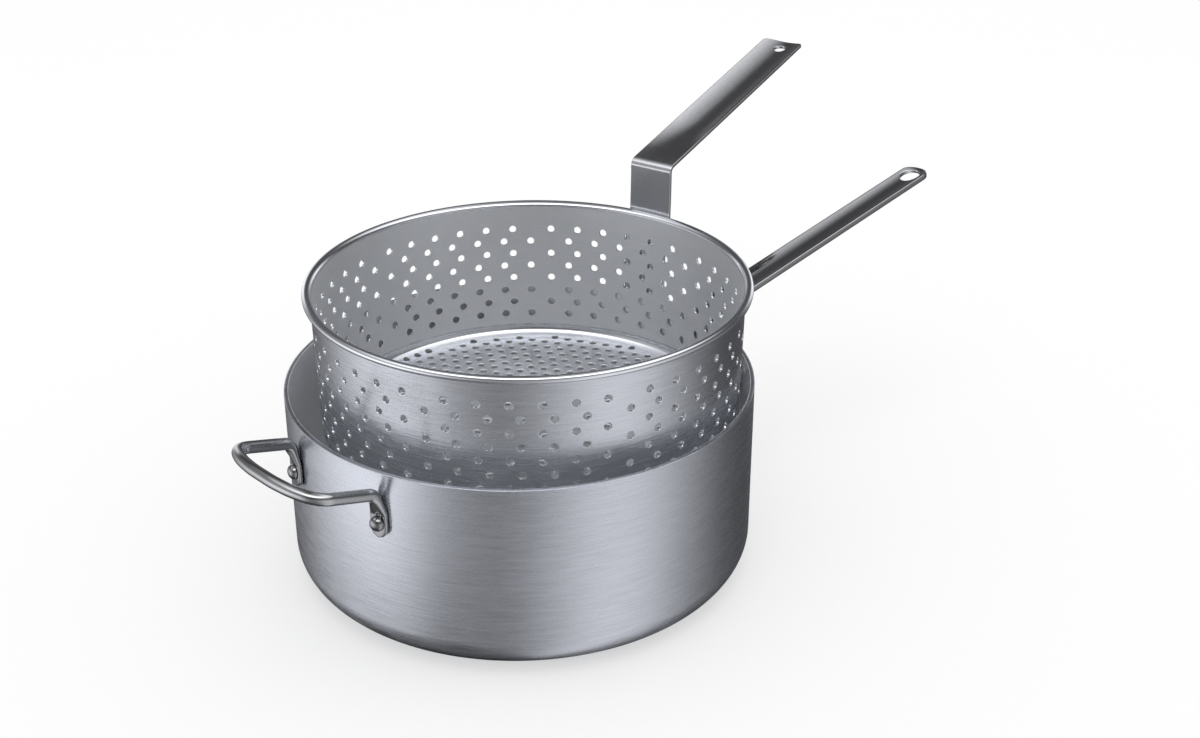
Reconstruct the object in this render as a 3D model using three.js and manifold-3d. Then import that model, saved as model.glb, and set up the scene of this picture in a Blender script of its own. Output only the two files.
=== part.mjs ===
// Deep fry pot: a drawn aluminium pot with a long handle and a helper handle, and a loose
// perforated basket with a strap handle, shown hung on the pot's rim to drain.
// Millimetres, +Z up. The origin is the middle of the pot's underside, the long handle runs
// along +X and the helper handle along -X.

import * as THREE from 'three';
import { mergeVertices } from 'three/addons/utils/BufferGeometryUtils.js';
import Module from 'manifold-3d';

const wasm = await Module();
wasm.setup();

// Clearances
const GAP = 0.3; // between pieces that touch
const BASKET_PLAY = 0.6; // between the basket's wall and the pot's wall where the basket leans
const CUT_CLEAR = 1; // how far a cutting tool runs past the face that it opens

// Pot
const POT_RADIUS = 156; // outside of the wall
const POT_HEIGHT = 132.5;
const POT_WALL = 3;
const POT_FLOOR = 3.5;
const POT_CORNER = 23.5; // outside radius between wall and floor
const RIM_BREAK = 0.4; // broken edges of the rim

// Basket
const BEAD_CLEARANCE = 5.6; // from the bead to the pot's wall, with the basket in the middle
const BEAD_RADIUS = POT_RADIUS - POT_WALL - BEAD_CLEARANCE; // outside of the rolled bead
const BEAD_TUBE = 4.8; // diameter of the bead's roll
const BEAD_WRAP = 120; // degrees that the roll goes round to either side of its outermost line
const BASKET_SHEET = 1.5;
const BASKET_DEPTH = 102; // from the bead's centre to the inside of the floor
const BASKET_CORNER = 8; // inside radius between wall and floor
const BASKET_TAPER = 0.023; // radius lost for each mm down the wall
const DRAIN_RISE = 62.3; // bead centre above the pot's rim while the basket drains

// Perforations of the basket's wall: rows of holes in groups, every second row shifted
const HOLE_DIAMETER = 5.2;
const HOLE_ROWS = 8;
const HOLE_ROW_PITCH = 9.5;
const HOLE_FIRST_ROW = 18.3; // below the bead's centre
const HOLE_GROUPS = 7;
const HOLES_PER_GROUP = 6;
const HOLE_STEP = 8; // degrees between neighbours in a group
const HOLE_ROW_SHIFT = 5.3; // degrees, of the first row and every second one after it
const HOLE_FIRST_COLUMN = -15.65; // degrees from the strap to a group's first hole, rows not shifted

// Perforations of the basket's floor: a plain grid with the open area of the fine round holes
const FLOOR_PITCH = 10.05; // between the fine holes, which stand in triangles
const FLOOR_GRID = 12; // openings of the grid across the floor
const FLOOR_MARGIN = 1.5; // between the openings and the rounded corner

// Basket handle: a steel strap
const STRAP_ANGLE = 12.27; // degrees from the pot's long handle
const STRAP_WIDTH = 33.3;
const STRAP_THICKNESS = 2.5;
const STRAP_BEND_RISE = 38.5; // corner of the bend above the bead's centre
const STRAP_BEND = 6; // outside radius of the bend
const STRAP_REACH = 346.5; // tip, from the basket's axis
const STRAP_SLOPE = 13.3; // degrees above level
const STRAP_DISH = 4; // depth of the trough pressed along the arm
const STRAP_DISH_RUN = 70; // length over which the trough deepens
const STRAP_TIP_RUN = 8; // length of the rounded tip
const STRAP_HOLE = 9; // diameter of the hanging hole
const STRAP_HOLE_INSET = 11.6; // hole centre from the tip
const STRAP_JOG_TOP = 4; // the strap clears the bead from here up, below the bead's centre
const STRAP_JOG_BOTTOM = 12; // the strap lies on the wall from here down
const STRAP_JOG_ROUND = 5;

// Pot long handle: a pressed steel channel with a plate at its root
const HANDLE_WIDTH = 22.2;
const HANDLE_SHEET = 2;
const HANDLE_SKIRT = 5; // full height of the channel
const HANDLE_DISH = 1.8; // depth of the hollow along its top
const HANDLE_DROP = 12.2; // its top below the rim, where its line meets the wall
const HANDLE_SLOPE = 10.35; // degrees above level
const HANDLE_REACH = 437.5; // tip, from the pot's axis
const HANDLE_BEND = 12; // outside radius of the bend at the root
const HANDLE_FLARE = 40; // length over which the channel widens into the plate
const EYE_LENGTH = 19;
const EYE_WIDTH = 14;
const EYE_INSET = 15; // eye centre from the tip
const PLATE_WIDTH = 42;
const PLATE_SHEET = 2.5;
const PLATE_BOTTOM = 66; // below the rim
const PLATE_ROUND = 16; // length of the plate's rounded lower end
const PLATE_FLAT = 0.65; // share of the plate's height that stays flat on the wall
const PLATE_RIVETS = [
  { across: -12, below: 40 },
  { across: 12, below: 40 },
  { across: 0, below: 57 },
];

// Helper handle: a bent rod with flattened ends
const ROD = 8; // diameter
const BOW_REACH = 203.5; // middle of the grip, from the pot's axis
const BOW_HALF_WIDTH = 43.5; // legs to either side of the middle
const BOW_DROP = 12.1; // centreline at the wall, below the rim
const BOW_TILT = 16.4; // degrees above level
const BOW_CORNER = 15; // centreline radius between grip and leg
const BOW_SAG = 9.5; // how much less the grip reaches at its corners
const BOW_CURVE = 50; // centreline radius of the grip's slight bends
const BOW_BENDS = [0.25, 0.6]; // places of those bends, as shares of the half width
const BOW_ELBOW = 7; // centreline radius of the bend down to the tab
const ELBOW_CLEAR = 1; // between the round rod and the wall at that bend
const TAB_WIDTH = 12;
const TAB_THICKNESS = 3.4;
const TAB_BOTTOM = 43; // below the rim
const TAB_RIVET_DROP = 33;
const TAB_SQUARENESS = 0.45; // 1 makes the tab's section an ellipse, less makes it squarer

// Rivets
const RIVET = { shank: 6, head: 10, dome: 4.4 };

// Fineness of the facets
const POT_SIDES = 64;
const BASKET_SIDES = HOLE_GROUPS * HOLES_PER_GROUP;
const CORNER_STEPS = 5;
const BEAD_STEPS = 8;
const RIVET_SIDES = 12;
const DOME_STEPS = 4;
const ROD_SIDES = 12;
const ROD_BEND_STEP = 18; // degrees
const STRIP_BEND_STEP = 15; // degrees
const STRIP_STEPS = 8; // across a strip
const CUT_SIDES = 16;
const END_STOPS = [1, 0.6, 0.3, 0.1, 0.02]; // places along a rounded end, as shares of its length
const END_BLUNT = 0.12; // share of the width that is left at the very end
const EASE_STOPS = [0.15, 0.35, 0.6, 0.85, 1]; // places along a gradual change of section

// Colours
const ALUMINIUM = { color: 0xb4b8bd, roughness: 0.42, metalness: 1 };
const BASKET_ALUMINIUM = { color: 0xa2a6ab, roughness: 0.38, metalness: 1 };
const STEEL = { color: 0x9a9da1, roughness: 0.18, metalness: 1 };

const radians = THREE.MathUtils.degToRad;
const smooth = THREE.MathUtils.smoothstep;
const lerp = THREE.MathUtils.lerp;

// Closed geometry to a solid: only positions are kept, shared vertices are merged.
function solidOf(geometry) {
  const bare = new THREE.BufferGeometry();
  bare.setAttribute('position', geometry.getAttribute('position').clone());
  bare.setIndex(geometry.getIndex().clone());
  const merged = mergeVertices(bare, 1e-4);
  const index = merged.getIndex().array;
  const triangles = [];
  for (let i = 0; i < index.length; i += 3) {
    const [a, b, c] = [index[i], index[i + 1], index[i + 2]];
    if (a !== b && b !== c && c !== a) triangles.push(a, b, c);
  }
  return new wasm.Manifold(new wasm.Mesh({
    numProp: 3,
    vertProperties: new Float32Array(merged.getAttribute('position').array),
    triVerts: new Uint32Array(triangles),
  }));
}

function geometryOf(solid) {
  const mesh = solid.getMesh();
  const geometry = new THREE.BufferGeometry();
  geometry.setAttribute('position', new THREE.BufferAttribute(new Float32Array(mesh.vertProperties), 3));
  geometry.setIndex(new THREE.BufferAttribute(new Uint32Array(mesh.triVerts), 1));
  geometry.computeVertexNormals();
  return geometry;
}

function cut(solid, tools) {
  return tools.reduce((rest, tool) => rest.subtract(tool), solid);
}

function moved(solid, matrix) {
  return solid.transform(matrix.elements);
}

// A turned solid about Z, with its first edge at the given angle from +X. The profile runs from
// the axis, up the outside and back to the axis.
function turned(profile, sides, firstEdge = 0) {
  const geometry = new THREE.LatheGeometry(profile, sides, Math.PI / 2 + firstEdge);
  geometry.rotateX(Math.PI / 2);
  return solidOf(geometry);
}

function point(r, z) {
  return new THREE.Vector2(r, z);
}

// Points of an arc about (r, z) from one angle to another, in degrees.
function arc(r, z, radius, from, to, steps) {
  return Array.from({ length: steps + 1 }, (_, i) => {
    const angle = radians(lerp(from, to, i / steps));
    return point(r + radius * Math.cos(angle), z + radius * Math.sin(angle));
  });
}

// A straight-sided prism about Z between two heights, for cutting holes.
function prism(radiusX, radiusY, low, high, sides) {
  const geometry = new THREE.CylinderGeometry(1, 1, high - low, sides);
  geometry.rotateX(Math.PI / 2);
  geometry.scale(radiusX, radiusY, 1);
  geometry.translate(0, 0, (low + high) / 2);
  return solidOf(geometry);
}

// A solid skinned through equal rings. Each ring has an outline in its own u and v, anticlockwise,
// and a place with the u and v directions, where u x v points along the path.
function loft(stations) {
  const count = stations[0].outline.length;
  const positions = [];
  const index = [];
  for (const { outline, origin, u, v } of stations) {
    for (const { x, y } of outline) {
      positions.push(...origin.clone().addScaledVector(u, x).addScaledVector(v, y).toArray());
    }
  }
  const last = stations.length - 1;
  for (let i = 0; i < last; i += 1) {
    for (let k = 0; k < count; k += 1) {
      const a = i * count + k;
      const b = i * count + ((k + 1) % count);
      index.push(a, b, b + count, a, b + count, a + count);
    }
  }
  for (const [a, b, c] of THREE.ShapeUtils.triangulateShape(stations[0].outline, [])) {
    index.push(a, c, b);
  }
  for (const [a, b, c] of THREE.ShapeUtils.triangulateShape(stations[last].outline, [])) {
    index.push(last * count + a, last * count + b, last * count + c);
  }
  const geometry = new THREE.BufferGeometry();
  geometry.setAttribute('position', new THREE.Float32BufferAttribute(positions, 3));
  geometry.setIndex(index);
  return solidOf(geometry);
}

// Points along a line with rounded corners; each corner is { at, round }, and the ends have no round.
function roundedLine(corners, stepDegrees) {
  const points = [corners[0].at];
  for (let i = 1; i < corners.length - 1; i += 1) {
    const { at, round } = corners[i];
    const back = corners[i - 1].at.clone().sub(at).normalize();
    const ahead = corners[i + 1].at.clone().sub(at).normalize();
    const turn = Math.PI - back.angleTo(ahead);
    const reach = round * Math.tan(turn / 2);
    const start = at.clone().addScaledVector(back, reach);
    const inward = back.clone().add(ahead).normalize();
    const centre = at.clone().addScaledVector(inward, round / Math.cos(turn / 2));
    const from = start.clone().sub(centre);
    const axis = back.clone().negate().cross(ahead).normalize();
    const steps = Math.max(2, Math.ceil(THREE.MathUtils.radToDeg(turn) / stepDegrees));
    for (let k = 0; k <= steps; k += 1) {
      points.push(from.clone().applyAxisAngle(axis, (turn * k) / steps).add(centre));
    }
  }
  points.push(corners[corners.length - 1].at);
  return points;
}

// Unit directions along a list of points, averaged at each.
function tangents(points) {
  return points.map((_, i) => {
    const before = points[Math.max(i - 1, 0)];
    const after = points[Math.min(i + 1, points.length - 1)];
    return after.clone().sub(before).normalize();
  });
}

// Points added along the last straight run of a path, at the given distances before its end.
function withStops(points, stops) {
  const end = points[points.length - 1];
  const back = points[points.length - 2].clone().sub(end).normalize();
  const added = stops.map((distance) => end.clone().addScaledVector(back, distance));
  return [...points.slice(0, -1), ...added, end];
}

// The same for a rounded end of the given length.
function withRoundEnd(points, length) {
  return withStops(points, END_STOPS.map((share) => share * length));
}

// Half of the width at a distance from a rounded end of the given length.
function endHalfWidth(half, length, distance) {
  const inset = Math.max(0, 1 - distance / length);
  return half * Math.max(END_BLUNT, Math.sqrt(1 - inset * inset));
}

// Stations of a bar whose path lies in the XZ plane: u is +Y, and v is the side on the path's left.
function barStations(points, outlineAt) {
  const directions = tangents(points);
  let travelled = 0;
  const lengths = points.map((p, i) => {
    travelled += i > 0 ? p.distanceTo(points[i - 1]) : 0;
    return travelled;
  });
  return points.map((origin, i) => ({
    origin,
    u: new THREE.Vector3(0, 1, 0),
    v: new THREE.Vector3(-directions[i].z, 0, directions[i].x),
    outline: outlineAt(lengths[i], travelled - lengths[i]),
  }));
}

// Outline of a strip between two heights that vary across its width.
function stripOutline(half, underAt, faceAt) {
  const across = Array.from({ length: STRIP_STEPS + 1 }, (_, i) => half * ((2 * i) / STRIP_STEPS - 1));
  const under = across.map((u) => point(u, underAt(u)));
  const face = across.map((u) => point(u, faceAt(u))).reverse();
  return [...under, ...face];
}

// A rivet about +X with the underside of its head at x = 0 and its shank running to -grip.
function rivet(grip) {
  const cap = Array.from({ length: DOME_STEPS }, (_, i) => {
    const angle = ((Math.PI / 2) * i) / DOME_STEPS;
    return point((RIVET.head / 2) * Math.cos(angle), RIVET.dome * Math.sin(angle));
  });
  const shank = [point(0, -grip), point(RIVET.shank / 2, -grip), point(RIVET.shank / 2, 0)];
  const solid = turned([...shank, ...cap, point(0, RIVET.dome)], RIVET_SIDES);
  return moved(solid, new THREE.Matrix4().makeRotationY(Math.PI / 2));
}

// A hole for that rivet, through all the pieces that it joins.
function rivetHole(grip) {
  const radius = RIVET.shank / 2 + GAP;
  const hole = prism(radius, radius, -grip - CUT_CLEAR, CUT_CLEAR, CUT_SIDES);
  return moved(hole, new THREE.Matrix4().makeRotationY(Math.PI / 2));
}

function mesh(name, solid, finish) {
  const made = new THREE.Mesh(geometryOf(solid), new THREE.MeshStandardMaterial(finish));
  made.name = name;
  return made;
}

// Places of the rivets, as matrices that carry a rivet along +X to its place on a round wall.

function onWall(angle, radius, height) {
  const turn = new THREE.Matrix4().makeRotationZ(angle);
  return turn.multiply(new THREE.Matrix4().makeTranslation(radius, 0, height));
}

const tabRadius = POT_RADIUS + GAP + TAB_THICKNESS;
const tabAngle = Math.asin(BOW_HALF_WIDTH / tabRadius);
const tabHeight = POT_HEIGHT - TAB_RIVET_DROP;
const elbowRadius = POT_RADIUS + GAP + ROD / 2 + ELBOW_CLEAR;
const tabGrip = POT_WALL + GAP + TAB_THICKNESS + GAP;
const helperRivetPlaces = [Math.PI - tabAngle, Math.PI + tabAngle].map((angle) =>
  onWall(angle, tabRadius + GAP, tabHeight));

const plateRadius = POT_RADIUS + GAP + PLATE_SHEET;
const plateGrip = POT_WALL + GAP + PLATE_SHEET + GAP;
const plateRivetPlaces = PLATE_RIVETS.map(({ across, below }) =>
  onWall(across / plateRadius, plateRadius + GAP, POT_HEIGHT - below));

const plateHoles = plateRivetPlaces.map((place) => moved(rivetHole(plateGrip), place));
const helperHoles = helperRivetPlaces.map((place) => moved(rivetHole(tabGrip), place));

// Pot body

function makePotBody() {
  const inside = POT_RADIUS - POT_WALL;
  const innerCorner = POT_CORNER - POT_WALL;
  const profile = [
    point(0, 0),
    ...arc(POT_RADIUS - POT_CORNER, POT_CORNER, POT_CORNER, -90, 0, CORNER_STEPS),
    point(POT_RADIUS, POT_HEIGHT - RIM_BREAK),
    point(POT_RADIUS - RIM_BREAK, POT_HEIGHT),
    point(inside + RIM_BREAK, POT_HEIGHT),
    point(inside, POT_HEIGHT - RIM_BREAK),
    ...arc(inside - innerCorner, POT_FLOOR + innerCorner, innerCorner, 0, -90, CORNER_STEPS),
    point(0, POT_FLOOR),
  ];
  return cut(turned(profile, POT_SIDES), [...plateHoles, ...helperHoles]);
}

// Pot long handle: a bar along its outline, hollowed from below, with a lipped eye near its tip

function makePotHandle() {
  const rise = Math.tan(radians(HANDLE_SLOPE));
  const wallFace = POT_RADIUS + GAP;
  const top = POT_HEIGHT - HANDLE_DROP;
  const tip = new THREE.Vector3(HANDLE_REACH, 0, top + (HANDLE_REACH - POT_RADIUS) * rise);
  const root = new THREE.Vector3(wallFace, 0, top + (wallFace - POT_RADIUS) * rise);
  const foot = new THREE.Vector3(wallFace, 0, POT_HEIGHT - PLATE_BOTTOM);
  const half = HANDLE_WIDTH / 2;
  const plateHalf = PLATE_WIDTH / 2;
  const plateCurve = plateHalf ** 2 / (2 * wallFace);
  const plateRun = root.z - foot.z;
  const armRun = root.distanceTo(tip);

  const line = roundedLine([{ at: foot }, { at: root, round: HANDLE_BEND }, { at: tip }], STRIP_BEND_STEP);
  const flareStops = EASE_STOPS.map((share) => armRun - HANDLE_BEND - HANDLE_FLARE * share);
  const arm = withRoundEnd(withStops(line, flareStops), half);
  const path = withRoundEnd(arm.reverse(), PLATE_ROUND).reverse();

  // Width, hollow and depth along the bar: a plate on the wall, then a channel.
  const bar = loft(barStations(path, (along, left) => {
    const channel = smooth(along, plateRun * PLATE_FLAT, plateRun + HANDLE_FLARE);
    const wide = lerp(plateHalf, half, channel);
    const width = Math.min(endHalfWidth(wide, half, left), endHalfWidth(wide, PLATE_ROUND, along));
    const depth = lerp(PLATE_SHEET, HANDLE_SKIRT, channel);
    const centre = -HANDLE_DISH * channel;
    const edge = plateCurve * (1 - channel);
    const faceAt = (u) => lerp(centre, edge, (u / wide) ** 2);
    const underAt = (u) => faceAt(u) * (1 - channel) - depth;
    return stripOutline(width, underAt, faceAt);
  }));

  // The hollow starts past the flare and keeps the sheet's thickness at the sides, top and tip.
  const ahead = tip.clone().sub(root).normalize();
  const hollowStart = root.clone().addScaledVector(ahead, HANDLE_FLARE);
  const hollowEnd = tip.clone().addScaledVector(ahead, -HANDLE_SHEET);
  const hollowHalf = half - HANDLE_SHEET;
  const hollowPath = withRoundEnd([hollowStart, hollowEnd], hollowHalf);
  const hollow = loft(barStations(hollowPath, (along, left) => {
    const width = endHalfWidth(hollowHalf, hollowHalf, left);
    const roofAt = (u) => -HANDLE_SHEET - HANDLE_DISH * (1 - (u / half) ** 2);
    return stripOutline(width, () => -HANDLE_SKIRT - CUT_CLEAR, roofAt);
  }));

  const eyePlace = new THREE.Matrix4().makeRotationY(-radians(HANDLE_SLOPE));
  eyePlace.setPosition(tip.clone().addScaledVector(ahead, -EYE_INSET));
  const [eyeX, eyeY] = [EYE_LENGTH / 2, EYE_WIDTH / 2];
  const lipTop = -HANDLE_DISH - HANDLE_SHEET / 2;
  const lip = prism(eyeX + HANDLE_SHEET, eyeY + HANDLE_SHEET, -HANDLE_SKIRT, lipTop, CUT_SIDES);
  const eye = prism(eyeX, eyeY, -HANDLE_SKIRT - CUT_CLEAR, HANDLE_DISH + CUT_CLEAR, CUT_SIDES);
  const channel = bar.subtract(hollow).add(moved(lip, eyePlace).intersect(bar));
  return cut(channel, [moved(eye, eyePlace), ...plateHoles]);
}

// Helper handle: half of it is skinned from the middle of the grip to the tab, then mirrored

function makeHelperHandle() {
  const tilt = radians(BOW_TILT);
  const outward = new THREE.Vector3(-Math.cos(tilt), 0, Math.sin(tilt));
  const tabFace = onWall(Math.PI + tabAngle, POT_RADIUS + GAP + TAB_THICKNESS / 2, 0);
  const tabPoint = (height) => new THREE.Vector3(0, 0, height).applyMatrix4(tabFace);
  const onBow = (reach, across) => {
    const start = new THREE.Vector3(-POT_RADIUS, -across, POT_HEIGHT - BOW_DROP);
    return start.addScaledVector(outward, (reach - POT_RADIUS) / Math.cos(tilt));
  };
  const onGrip = (share) => {
    const bent = Math.max(0, share - BOW_BENDS[0]) / (1 - BOW_BENDS[0]);
    return onBow(BOW_REACH - BOW_SAG * bent ** 2, BOW_HALF_WIDTH * share);
  };
  const shoulder = new THREE.Vector3().applyMatrix4(onWall(Math.PI + tabAngle, elbowRadius, 0));
  const elbow = onBow(-shoulder.x, -shoulder.y);
  const flatTop = tabHeight + TAB_WIDTH / 2;
  const low = tabPoint(POT_HEIGHT - TAB_BOTTOM);
  const corners = [
    { at: onGrip(0) },
    ...BOW_BENDS.map((share) => ({ at: onGrip(share), round: BOW_CURVE })),
    { at: onGrip(1), round: BOW_CORNER },
    { at: elbow, round: BOW_ELBOW },
    { at: tabPoint(flatTop), round: BOW_ELBOW },
    { at: low },
  ];
  const points = withRoundEnd(roundedLine(corners, ROD_BEND_STEP), TAB_WIDTH / 2);
  const directions = tangents(points);
  directions[0].set(0, -1, 0);

  // The flat of the tab faces the wall; that facing is carried back along the rod without twist.
  const facings = [];
  const facing = new THREE.Vector3(-1, 0, 0).transformDirection(tabFace);
  for (let i = points.length - 1; i >= 0; i -= 1) {
    facing.addScaledVector(directions[i], -facing.dot(directions[i])).normalize();
    facings[i] = facing.clone();
  }

  const half = loft(points.map((origin, i) => {
    const flat = 1 - smooth(origin.z, flatTop, elbow.z - BOW_ELBOW / 2);
    const tabHalf = endHalfWidth(TAB_WIDTH / 2, TAB_WIDTH / 2, origin.z - low.z);
    const wide = lerp(ROD / 2, tabHalf, flat);
    const thick = lerp(ROD / 2, TAB_THICKNESS / 2, flat);
    const power = lerp(1, TAB_SQUARENESS, flat);
    const outline = Array.from({ length: ROD_SIDES }, (_, k) => {
      const angle = (2 * Math.PI * (k + 0.5)) / ROD_SIDES;
      const [x, y] = [Math.cos(angle), Math.sin(angle)];
      return point(wide * Math.sign(x) * Math.abs(x) ** power, thick * Math.sign(y) * Math.abs(y) ** power);
    });
    const v = facings[i];
    return { origin, outline, u: v.clone().cross(directions[i]).normalize(), v };
  }));
  return cut(half.add(half.mirror([0, 1, 0])), helperHoles);
}

// Basket, in its own frame: its axis is Z, the bead's centre is at z = 0 and the strap is along +X

const beadTube = BEAD_TUBE / 2;
const beadCentre = BEAD_RADIUS - beadTube;

// Radius of the wall's outside; it meets the bead's roll at the bead's centre height.
function wallOutside(depth) {
  return beadCentre - beadTube - BASKET_TAPER * depth;
}

function makeBasketShell() {
  const floor = -BASKET_DEPTH;
  const inside = (depth) => wallOutside(depth) - BASKET_SHEET;
  const cornerCentre = inside(BASKET_DEPTH - BASKET_CORNER) - BASKET_CORNER;
  const cornerHeight = floor + BASKET_CORNER;
  const profile = [
    point(0, floor - BASKET_SHEET),
    ...arc(cornerCentre, cornerHeight, BASKET_CORNER + BASKET_SHEET, -90, 0, CORNER_STEPS),
    point(wallOutside(beadTube), -beadTube),
    ...arc(beadCentre, 0, beadTube, -BEAD_WRAP, BEAD_WRAP, BEAD_STEPS),
    point(inside(0), 0),
    ...arc(cornerCentre, cornerHeight, BASKET_CORNER, 0, -90, CORNER_STEPS),
    point(0, floor),
  ];

  // Each perforation is cut square, with the area of the round hole.
  const holeRadius = (HOLE_DIAMETER / 2) * Math.sqrt(Math.PI / 2);
  const square = prism(holeRadius, holeRadius, inside(BASKET_DEPTH) - CUT_CLEAR, BEAD_RADIUS, 4);
  const outward = moved(square.rotate([0, 0, 45]), new THREE.Matrix4().makeRotationY(Math.PI / 2));
  const tools = [];
  for (let row = 0; row < HOLE_ROWS; row += 1) {
    const lower = new THREE.Matrix4().makeTranslation(0, 0, -HOLE_FIRST_ROW - HOLE_ROW_PITCH * row);
    const first = HOLE_FIRST_COLUMN + (row % 2 === 0 ? HOLE_ROW_SHIFT : 0);
    for (let group = 0; group < HOLE_GROUPS; group += 1) {
      for (let hole = 0; hole < HOLES_PER_GROUP; hole += 1) {
        const angle = first + (360 / HOLE_GROUPS) * group + HOLE_STEP * hole;
        const place = new THREE.Matrix4().makeRotationZ(radians(angle)).multiply(lower);
        tools.push(moved(outward, place));
      }
    }
  }

  // The floor has a square grid of openings, as far out as they fit.
  const gridHalf = cornerCentre - FLOOR_MARGIN;
  const pitch = (2 * gridHalf) / FLOOR_GRID;
  const fineHole = (Math.PI / 4) * HOLE_DIAMETER ** 2;
  const fineCell = FLOOR_PITCH ** 2 * Math.sin(radians(60));
  const openHalf = (pitch / 2) * Math.sqrt(fineHole / fineCell);
  const diagonal = openHalf * Math.SQRT2;
  const opening = prism(diagonal, diagonal, floor - BASKET_SHEET - CUT_CLEAR, floor + CUT_CLEAR, 4);
  for (let i = 0; i < FLOOR_GRID; i += 1) {
    for (let k = 0; k < FLOOR_GRID; k += 1) {
      const [x, y] = [i, k].map((step) => (step + 0.5) * pitch - gridHalf);
      const farthest = Math.hypot(Math.abs(x) + openHalf, Math.abs(y) + openHalf);
      if (farthest < gridHalf) tools.push(opening.rotate([0, 0, 45]).translate([x, y, 0]));
    }
  }

  // The facets' edges run midway between the columns that come nearest to each other.
  const drift = HOLE_ROW_SHIFT + (HOLES_PER_GROUP - 1) * (HOLE_STEP - 360 / BASKET_SIDES);
  const bowl = turned(profile, BASKET_SIDES, radians(HOLE_FIRST_COLUMN + drift / 2));
  return bowl.subtract(wasm.Manifold.union(tools));
}

// Basket handle: a strap welded to the wall, led past the bead and bent over into a dished arm

function makeBasketHandle() {
  const clearOfBead = BEAD_RADIUS + 2 * GAP;
  const rise = Math.tan(radians(STRAP_SLOPE));
  const foot = DRAIN_RISE - GAP;
  const onBasket = (depth) => new THREE.Vector3(wallOutside(depth) + GAP, 0, -depth);
  const bend = new THREE.Vector3(clearOfBead, 0, STRAP_BEND_RISE);
  const tip = new THREE.Vector3(STRAP_REACH, 0, STRAP_BEND_RISE + (STRAP_REACH - clearOfBead) * rise);
  const line = roundedLine([
    { at: onBasket(foot) },
    { at: onBasket(STRAP_JOG_BOTTOM), round: STRAP_JOG_ROUND },
    { at: new THREE.Vector3(clearOfBead, 0, -STRAP_JOG_TOP), round: STRAP_JOG_ROUND },
    { at: bend, round: STRAP_BEND },
    { at: tip },
  ], STRIP_BEND_STEP);
  const armRun = bend.distanceTo(tip);
  const dishStops = EASE_STOPS.map((share) => armRun - STRAP_BEND - STRAP_DISH_RUN * share);
  const path = withRoundEnd(withStops(line, dishStops), STRAP_TIP_RUN);

  // The lower end is curved to the wall and flattens toward the bend, past which the trough deepens.
  const half = STRAP_WIDTH / 2;
  const wallRun = foot - STRAP_JOG_BOTTOM;
  const bendStart = foot + STRAP_BEND_RISE - STRAP_BEND;
  const strap = loft(barStations(path, (along, left) => {
    const wrap = (1 - smooth(along, wallRun, bendStart)) / (2 * clearOfBead);
    const dish = STRAP_DISH * smooth(armRun - left, 0, STRAP_DISH_RUN);
    const faceAt = (u) => wrap * u ** 2 - dish * (1 - (u / half) ** 2);
    const underAt = (u) => faceAt(u) - STRAP_THICKNESS;
    return stripOutline(endHalfWidth(half, STRAP_TIP_RUN, left), underAt, faceAt);
  }));
  const ahead = tip.clone().sub(bend).normalize();
  const holePlace = new THREE.Matrix4().makeRotationY(-radians(STRAP_SLOPE));
  holePlace.setPosition(tip.clone().addScaledVector(ahead, -STRAP_HOLE_INSET));
  const holeLow = -STRAP_DISH - STRAP_THICKNESS - CUT_CLEAR;
  const hangingHole = prism(STRAP_HOLE / 2, STRAP_HOLE / 2, holeLow, CUT_CLEAR, CUT_SIDES);
  return strap.subtract(moved(hangingHole, holePlace));
}

// Assembly

const pot = new THREE.Group();
pot.add(mesh('pot_body', makePotBody(), ALUMINIUM));
pot.add(mesh('pot_handle', makePotHandle(), STEEL));
pot.add(mesh('helper_handle', makeHelperHandle(), STEEL));
plateRivetPlaces.forEach((place, i) => {
  pot.add(mesh(`pot_handle_rivet_${i + 1}`, moved(rivet(plateGrip), place), STEEL));
});
['left', 'right'].forEach((side, i) => {
  pot.add(mesh(`helper_rivet_${side}`, moved(rivet(tabGrip), helperRivetPlaces[i]), STEEL));
});

// The basket hangs on the rim by the strap's lower end, leaning on the pot's wall on that side.
const basket = new THREE.Group();
const basketShift = POT_RADIUS - POT_WALL - wallOutside(DRAIN_RISE) - BASKET_PLAY;
const strapAngle = radians(STRAP_ANGLE);
basket.position.set(
  basketShift * Math.cos(strapAngle),
  basketShift * Math.sin(strapAngle),
  POT_HEIGHT + DRAIN_RISE,
);
basket.rotation.z = strapAngle;
basket.add(mesh('basket_shell', makeBasketShell(), BASKET_ALUMINIUM));
basket.add(mesh('basket_handle', makeBasketHandle(), STEEL));

const fryPot = new THREE.Group();
fryPot.add(pot, basket);

export default fryPot;
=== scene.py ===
"""Looks of the deep fry pot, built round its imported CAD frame.

Sizes are in millimetres here and become metres in the meshes. The pot's pieces are made in the
part's frame. The basket's pieces are made in the basket's own frame, where Z is its axis, the
bead's centre is at z = 0 and the strap is along +X, and are then set in place.
"""

import math

import bpy
import numpy as np
from mathutils import Matrix, Vector
from mathutils.geometry import delaunay_2d_cdt


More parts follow.
